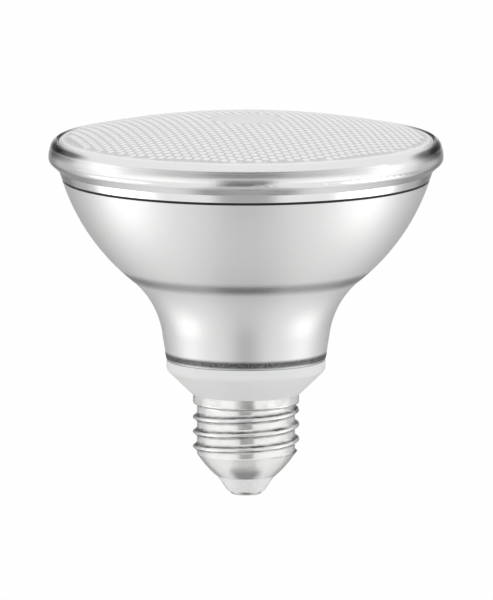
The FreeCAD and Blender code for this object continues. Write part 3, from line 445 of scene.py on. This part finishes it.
def cell_mesh(raised, rings=PILLOW_RINGS):
    """A cell with its foot at height zero, round a centre at the origin."""
    bm = bmesh.new()
    corner = CELL / math.sqrt(3.0)
    half_corner = Matrix.Rotation(math.radians(30.0), 4, "Z")
    bmesh.ops.create_circle(bm, cap_ends=True, segments=6, radius=corner * MM, matrix=half_corner)
    bmesh.ops.subdivide_edges(bm, edges=bm.edges[:], cuts=1)
    for radius, height in rings:
        face = max(bm.faces, key=lambda f: len(f.verts))
        bmesh.ops.inset_region(bm, faces=[face], use_boundary=True, thickness=INSET * MM)
        face = max(bm.faces, key=lambda f: len(f.verts))
        for vert in face.verts:
            flat = Vector((vert.co.x, vert.co.y, 0.0)).normalized() * radius * MM
            vert.co = flat + Vector((0.0, 0.0, height * MM * raised))
    if rings:
        face = max(bm.faces, key=lambda f: len(f.verts))
        centre = bmesh.ops.poke(bm, faces=[face])["verts"][0]
        centre.co.z = PILLOW_TOP * MM * raised
    made = bpy.data.meshes.new("cell")
    bm.to_mesh(made)
    bm.free()
    return made


pillow = cell_mesh(1.0)
plain = cell_mesh(0.0)
empty = cell_mesh(0.0, ())
print(f"one pillow: {len(pillow.polygons)} faces")

# %% [markdown]
# The cells stand in a honeycomb that is turned a little against the front, with a plain
# six-sided window in the middle. Copies that share a side are welded. Empty cells go round the
# outside, their outer points are pulled in onto a circle, and a triangle fill joins that ragged
# edge to an even circle just outside it while everything is still flat. The circle's edges are
# found as the only ones without a face, in the order in which they were made, so that every run
# of the script fills the gap in the same order. Only then is each point lifted onto the dome.

# %% Sheet of cells
HONEYCOMB_TURN = math.radians(12.0)
WINDOW = 8.4
PLAIN_TONE = 0.22
CELL_LIMIT = 43.3
CELL_EDGE = 44.6
CELL_SPARE = 0.6
CELL_WELD = 0.02


def window_reach(front, side):
    """Six-sided distance from the middle, for a point along and across the honeycomb."""
    return max(abs(front), (abs(front) + math.sqrt(3.0) * abs(side)) / 2.0)


def honeycomb():
    """Centres of the cells, each with the kind of cell that stands there."""
    reach = int(PATTERN_RADIUS / CELL) + 2
    along = Vector((math.sin(HONEYCOMB_TURN), -math.cos(HONEYCOMB_TURN)))
    across = Vector((math.cos(HONEYCOMB_TURN), math.sin(HONEYCOMB_TURN)))
    for column in range(-2 * reach, 2 * reach + 1):
        for row in range(-2 * reach, 2 * reach + 1):
            side = column * CELL * math.sqrt(3.0) / 2.0
            front = (row + 0.5 * (column % 2)) * CELL
            centre = along * front + across * side
            if centre.length > CELL_EDGE + CELL_SPARE:
                continue
            if centre.length > CELL_LIMIT:
                yield centre, empty
            else:
                yield centre, plain if window_reach(front, side) < WINDOW else pillow


def lens_face(bm):
    """The pillowed face of the lens, flat, in a bmesh."""
    turn = Matrix.Rotation(HONEYCOMB_TURN, 4, "Z")
    for centre, cell in honeycomb():
        first = len(bm.verts)
        bm.from_mesh(cell)
        bm.verts.ensure_lookup_table()
        place = Matrix.Translation((centre.x * MM, centre.y * MM, 0.0)) @ turn
        bmesh.ops.transform(bm, matrix=place, verts=bm.verts[first:])
    for vert in bm.verts:
        reach = math.hypot(vert.co.x, vert.co.y)
        if reach > CELL_EDGE * MM:
            vert.co *= CELL_EDGE * MM / reach
    bmesh.ops.remove_doubles(bm, verts=bm.verts[:], dist=CELL_WELD * MM)
    # each point's tone drives the painted shade of the valleys and the painted highlight of the
    # crowns
    shade_tone = bm.verts.layers.float.new("pillow_shade_tone")
    for vert in bm.verts:
        straight = turn.inverted() @ vert.co / MM
        plain_glass = window_reach(straight.y, straight.x) < WINDOW
        vert[shade_tone] = PLAIN_TONE if plain_glass else vert.co.z / (PILLOW_TOP * MM)
    for face in bm.faces:
        face.smooth = True
    rim = [edge for edge in bm.edges if edge.is_boundary]
    print(f"sheet: {len(bm.faces)} faces, {len(rim)} edges round it")
    for edge in rim:
        for vert in edge.verts:
            vert[shade_tone] = PLAIN_TONE
    circle = bmesh.ops.create_circle(bm, segments=LENS_STEPS, radius=PATTERN_RADIUS * MM)["verts"]
    for vert in circle:
        vert[shade_tone] = 1.0
    rim += [edge for edge in bm.edges if edge.is_wire]
    bmesh.ops.triangle_fill(bm, use_beauty=True, edges=rim, normal=(0.0, 0.0, 1.0))


# %% [markdown]
# The body is one outline, spun round the lamp axis: up inside the dish, down the rim's bore, out
# across the foot, up the wall, round the edge and in over a narrow plain land. Spin lists its new
# faces in an order that changes from run to run, while the points keep theirs. So at the end the
# faces are sorted by their points, which gives them the same order each run.


# %% Body of the lens
def spin_outline(bm, outline, steps):
    """Spins a chain of (radius, height) points round the lamp axis."""
    verts = [bm.verts.new((radius * MM, 0.0, height * MM)) for radius, height in outline]
    edges = [bm.edges.new(pair) for pair in zip(verts, verts[1:])]
    bmesh.ops.spin(
        bm,
        geom=verts + edges,
        cent=(0.0, 0.0, 0.0),
        axis=(0.0, 0.0, 1.0),
        steps=steps,
        angle=math.tau,
        use_merge=True,
    )


def lens_outline():
    inner = DOME_RADIUS - LENS_WALL
    reaches = [RIM_BORE * step / DISH_STEPS for step in range(DISH_STEPS + 1)]
    points = [(reach, dome(reach, inner)) for reach in reaches]
    points += [(RIM_BORE, LENS_FOOT), (LENS_RADIUS, LENS_FOOT)]
    points += [(LENS_RADIUS - back, EDGE_TOP - down) for back, down in EDGE_ROUND]
    points += [(FACE_RADIUS, EDGE_TOP), (PATTERN_RADIUS, dome(PATTERN_RADIUS))]
    return points


def settle_faces(bm):
    """Sorts the faces by their three first points, which no two faces share."""
    bm.verts.index_update()
    count = len(bm.verts)

    def rank(face):
        first, second, third = sorted(vert.index for vert in face.verts)[:3]
        return (first * count + second) * count + third

    bm.faces.sort(key=rank)


def make_lens():
    bm = bmesh.new()
    lens_face(bm)
    for vert in bm.verts:
        radius = math.hypot(vert.co.x, vert.co.y) / MM
        vert.co.z += dome(min(radius, PATTERN_RADIUS)) * MM
    face_side = len(bm.faces)
    spin_outline(bm, lens_outline(), LENS_STEPS)
    bm.faces.ensure_lookup_table()
    shade_tone = bm.verts.layers.float["pillow_shade_tone"]
    for face in bm.faces[face_side:]:
        face.smooth = True
        for vert in face.verts:
            vert[shade_tone] = 1.0
    bmesh.ops.remove_doubles(bm, verts=bm.verts[:], dist=LENS_WELD * MM)
    bmesh.ops.recalc_face_normals(bm, faces=bm.faces[:])
    settle_faces(bm)
    open_edges = sum(edge.is_boundary for edge in bm.edges)
    mesh = bpy.data.meshes.new("pillow_lens")
    bm.to_mesh(mesh)
    bm.free()
    print(f"lens: {len(mesh.polygons)} faces, {open_edges} open edges")
    return mesh


lens = bpy.data.objects.new("pillow_lens", make_lens())
scene.collection.objects.link(lens)
lens.data.materials.append(clear_lens())
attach(lens, "root")
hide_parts("front_lens")

# %% [markdown]
# Bright metal shows its surroundings more than its own colour, so the studio around the lamp is
# part of the finish. The world is painted by direction: a pale room with large soft lights at
# both sides, a grey strip that runs from the horizon in front down under the lamp, and darker
# quarters above the camera and far round the sides. The strip is the dark middle of the bowl and
# the bands, and the quarters are the dark ends of the rim. The camera itself sees plain white.

# %% Studio world
world = bpy.data.worlds.new("studio")
world.use_nodes = True
scene.world = world
room = world.node_tree
room.nodes.clear()


def room_node(kind, **settings):
    made = room.nodes.new(kind)
    for name, value in settings.items():
        setattr(made, name, value)
    return made


def room_maths(operation, first, second=None):
    made = room_node("ShaderNodeMath", operation=operation)
    for socket, value in zip(made.inputs, (first, second)):
        if value is None:
            continue
        if isinstance(value, (int, float)):
            socket.default_value = value
        else:
            room.links.new(value, socket)
    return made.outputs[0]


def heading(side, rise):
    """A direction from its turn to the right of the camera's side and its rise, in degrees."""
    turn, climb = math.radians(side), math.radians(rise)
    return Vector(
        (math.sin(turn) * math.cos(climb), -math.cos(turn) * math.cos(climb), math.sin(climb))
    )


VIEW = room_node("ShaderNodeSeparateXYZ")
room.links.new(room_node("ShaderNodeTexCoord").outputs["Generated"], VIEW.inputs[0])
BACKWARDS = room_maths("MULTIPLY", VIEW.outputs["Y"], -1.0)
SIDE = room_maths("DEGREES", room_maths("ARCTAN2", VIEW.outputs["X"], BACKWARDS))
RISE = room_maths("DEGREES", room_maths("ARCSINE", VIEW.outputs["Z"]))


def fade_of(source, start, end):
    """Rises softly from nothing at the start to one at the end."""
    fade = room_node("ShaderNodeMapRange", interpolation_type="SMOOTHSTEP")
    fade.inputs["From Min"].default_value = start
    fade.inputs["From Max"].default_value = end
    room.links.new(source, fade.inputs["Value"])
    return fade.outputs["Result"]


def patch(side, rise, half_width, half_height, strength, soft=0.45):
    """A soft oval on the room's wall, in degrees; it has half its strength at its halves."""
    turned = room_node("ShaderNodeMath", operation="WRAP")
    room.links.new(room_maths("SUBTRACT", SIDE, side), turned.inputs[0])
    turned.inputs[1].default_value = 180.0
    turned.inputs[2].default_value = -180.0
    across = room_maths("POWER", room_maths("DIVIDE", turned.outputs[0], half_width), 2.0)
    up = room_maths("DIVIDE", room_maths("SUBTRACT", RISE, rise), half_height)
    reach = room_maths("SQRT", room_maths("ADD", across, room_maths("POWER", up, 2.0)))
    return room_maths("MULTIPLY", fade_of(reach, 1.0 + soft, 1.0 - soft), strength)


ROOM_LEVEL = 0.848
STRIP_HALF = 0.25
STRIP_ABOVE = 0.78
STRIP_BELOW = 0.4
LIGHT_PATCHES = (
    (-92.0, -34.0, 22.0, 12.0, 1.0),
    (92.0, -34.0, 22.0, 12.0, 1.0),
    (-64.0, -3.0, 38.0, 7.0, 0.24),
    (64.0, -3.0, 38.0, 7.0, 0.24),
    (-92.0, 10.0, 14.0, 9.0, 0.28),
    (92.0, 10.0, 14.0, 9.0, 0.28),
)
DARK_PATCHES = (
    (0.0, 21.0, 62.0, 12.0, 0.4),
    (0.0, 24.0, 26.0, 9.0, 0.5),
    (180.0, -72.0, 36.0, 5.0, 0.9, 0.3),
    (180.0, -38.0, 52.0, 34.0, 0.25),
    (-157.0, 8.0, 17.0, 12.0, 0.93),
    (-139.0, 17.0, 20.0, 14.0, 0.85),
    (157.0, 7.0, 17.0, 11.0, 0.93),
    (141.0, 14.0, 18.0, 13.0, 0.82),
    (-138.0, -12.0, 26.0, 20.0, 0.4),
    (138.0, -12.0, 26.0, 20.0, 0.4),
    (-163.0, -22.0, 17.0, 20.0, 0.5),
    (163.0, -22.0, 17.0, 20.0, 0.5),
)
strip_across = room_maths("ABSOLUTE", VIEW.outputs["X"])
strip = fade_of(strip_across, 1.4 * STRIP_HALF, 0.7 * STRIP_HALF)
strip = room_maths("MULTIPLY", strip, fade_of(RISE, 12.0, 0.0))
strip = room_maths("MULTIPLY", strip, fade_of(VIEW.outputs["Y"], 0.45, 0.15))
depth = room_maths("MULTIPLY", fade_of(RISE, -54.0, -30.0), STRIP_ABOVE - STRIP_BELOW)
strip = room_maths("MULTIPLY", strip, room_maths("ADD", depth, STRIP_BELOW))
level = room_maths("MULTIPLY", room_maths("SUBTRACT", 1.0, strip), ROOM_LEVEL)
for setting in LIGHT_PATCHES:
    level = room_maths("ADD", patch(*setting), level)
for setting in DARK_PATCHES:
    level = room_maths("MULTIPLY", room_maths("SUBTRACT", 1.0, patch(*setting)), level)

rays = room_node("ShaderNodeLightPath")
seen = room_node("ShaderNodeMix", data_type="FLOAT")
room.links.new(rays.outputs["Is Camera Ray"], seen.inputs["Factor"])
room.links.new(level, seen.inputs["A"])
seen.inputs["B"].default_value = 1.0
glow = room_node("ShaderNodeBackground")
glow.inputs["Color"].default_value = (1.0, 1.0, 1.0, 1.0)
room.links.new(seen.outputs["Result"], glow.inputs["Strength"])
output = room_node("ShaderNodeOutputWorld")
room.links.new(glow.outputs["Background"], output.inputs["Surface"])
print(f"room: {len(LIGHT_PATCHES)} light and {len(DARK_PATCHES)} dark patches")

# %% [markdown]
# The floor is plain and pale. It shines white to the camera, so that it runs into the white
# behind the lamp, and a share of ordinary diffuse white keeps a faint shadow on it. Metal looks
# through it into the painted room.

# %% Floor
FLOOR_HALF = 6.0
bm = bmesh.new()
bmesh.ops.create_grid(bm, x_segments=1, y_segments=1, size=FLOOR_HALF)
floor_mesh = bpy.data.meshes.new("studio_floor")
bm.to_mesh(floor_mesh)
bm.free()
floor = bpy.data.objects.new("studio_floor", floor_mesh)
scene.collection.objects.link(floor)
floor.visible_glossy = False
floor.visible_transmission = False

paper = bpy.data.materials.new("pale floor")
paper.use_nodes = True
paper_tree = paper.node_tree
paper_tree.nodes["Principled BSDF"].inputs["Base Color"].default_value = (0.94, 0.94, 0.94, 1.0)
paper_tree.nodes["Principled BSDF"].inputs["Roughness"].default_value = 0.8
white = paper_tree.nodes.new("ShaderNodeEmission")
mix = paper_tree.nodes.new("ShaderNodeMixShader")
paths = paper_tree.nodes.new("ShaderNodeLightPath")
share = paper_tree.nodes.new("ShaderNodeMath")
share.operation = "MULTIPLY"
share.inputs[1].default_value = 0.97
paper_tree.links.new(paths.outputs["Is Camera Ray"], share.inputs[0])
paper_tree.links.new(share.outputs[0], mix.inputs["Fac"])
paper_tree.links.new(paper_tree.nodes["Principled BSDF"].outputs[0], mix.inputs[1])
paper_tree.links.new(white.outputs[0], mix.inputs[2])
paper_tree.links.new(mix.outputs[0], paper_tree.nodes["Material Output"].inputs["Surface"])
floor.data.materials.append(paper)
print("floor laid")

# %% [markdown]
# Bright metal close to the floor also mirrors the lamp's own shadow where it stands. The floor is
# hidden from the metal, so a small soft dark oval in front of the foot takes that place as a
# painted shadow: the camera never sees it, and only reflections do. Its edge fades, as a shadow's
# does.

# %% Painted shadow at the foot
SPOT_HALF_WIDTH = 0.0085
SPOT_HALF_DEPTH = 0.0042
SPOT_PLACE = (0.0, -0.0075, 0.0001)

bm = bmesh.new()
bmesh.ops.create_circle(bm, cap_ends=True, segments=64, radius=1.0)
bmesh.ops.scale(bm, vec=(SPOT_HALF_WIDTH, SPOT_HALF_DEPTH, 1.0), verts=bm.verts[:])
spot_mesh = bpy.data.meshes.new("painted_shadow_spot")
bm.to_mesh(spot_mesh)
bm.free()
spot = bpy.data.objects.new("painted_shadow_spot", spot_mesh)
scene.collection.objects.link(spot)
spot.location = SPOT_PLACE
spot.visible_camera = False
spot.visible_diffuse = False
spot.visible_transmission = False
spot.visible_shadow = False

shade = bpy.data.materials.new("painted shadow spot")
shade.use_nodes = True
shade_tree = shade.node_tree
shade_tree.nodes.clear()


def shade_node(kind, **settings):
    made = shade_tree.nodes.new(kind)
    for name, value in settings.items():
        setattr(made, name, value)
    return made


spot_scale = shade_node("ShaderNodeVectorMath", operation="DIVIDE")
spot_scale.inputs[1].default_value = (SPOT_HALF_WIDTH, SPOT_HALF_DEPTH, 1.0)
spot_reach = shade_node("ShaderNodeVectorMath", operation="LENGTH")
spot_fade = shade_node("ShaderNodeMapRange", interpolation_type="SMOOTHSTEP")
spot_fade.inputs["From Min"].default_value = 1.0
spot_fade.inputs["From Max"].default_value = 0.3
spot_fade.inputs["To Max"].default_value = 0.96
# painted shadow: a nearly black glow in the middle of the oval
spot_shadow = shade_node("ShaderNodeEmission")
spot_shadow.inputs["Strength"].default_value = 0.04
spot_mix = shade_node("ShaderNodeMixShader")
for source, target in (
    (shade_node("ShaderNodeTexCoord").outputs["Object"], spot_scale.inputs[0]),
    (spot_scale.outputs["Vector"], spot_reach.inputs[0]),
    (spot_reach.outputs["Value"], spot_fade.inputs["Value"]),
    (spot_fade.outputs["Result"], spot_mix.inputs["Fac"]),
    (shade_node("ShaderNodeBsdfTransparent").outputs[0], spot_mix.inputs[1]),
    (spot_shadow.outputs[0], spot_mix.inputs[2]),
    (spot_mix.outputs[0], shade_node("ShaderNodeOutputMaterial").inputs["Surface"]),
):
    shade_tree.links.new(source, target)
spot_mesh.materials.append(shade)
print("painted shadow spot laid")

# %% [markdown]
# Two soft lamps stand left and right of the camera. They shape the white collar and put the long
# highlights on the rim. They are large and not far away, so their shadows stay soft.


# %% Soft lamps
def soft_lamp(name, side, rise, distance, width, watts):
    data = bpy.data.lights.new(name, "AREA")
    data.size = width
    data.energy = watts
    lamp = bpy.data.objects.new(name, data)
    scene.collection.objects.link(lamp)
    aim = Vector((0.0, 0.0, 0.05))
    lamp.location = aim + heading(side, rise) * distance
    lamp.rotation_euler = (aim - lamp.location).to_track_quat("-Z", "Y").to_euler()
    lamp.visible_glossy = False
    return lamp


LAMP_SIDE = 62.0
LAMP_RISE = 20.0
LAMP_DISTANCE = 1.2
LAMP_WIDTH = 0.7
LAMP_WATTS = 2.4
for name, side in (("left_lamp", -LAMP_SIDE), ("right_lamp", LAMP_SIDE)):
    soft_lamp(name, side, LAMP_RISE, LAMP_DISTANCE, LAMP_WIDTH, LAMP_WATTS)
print("two lamps hung")

# %% [markdown]
# The photograph was taken with a long lens from a little above the lamp. A long lens flattens
# the ellipses evenly, so the distance is large and the focal length with it.

# %% Camera
CAMERA_RISE = 8.4
CAMERA_DISTANCE = 5.3
CAMERA_AIM = 0.0481
FOCAL_LENGTH = 1294.5
SIDE_SHIFT = 0.5 / 600.0

camera_data = bpy.data.cameras.new("camera")
camera_data.lens = FOCAL_LENGTH
camera_data.sensor_width = 36.0
camera_data.shift_x = SIDE_SHIFT
camera_data.clip_start = 0.05
camera = bpy.data.objects.new("camera", camera_data)
scene.collection.objects.link(camera)
target = Vector((0.0, 0.0, CAMERA_AIM))
camera.location = target + heading(0.0, CAMERA_RISE) * CAMERA_DISTANCE
camera.rotation_euler = (target - camera.location).to_track_quat("-Z", "Y").to_euler()
scene.camera = camera
scene.view_settings.view_transform = "Standard"
print(f"camera at {tuple(round(value, 3) for value in camera.location)}")
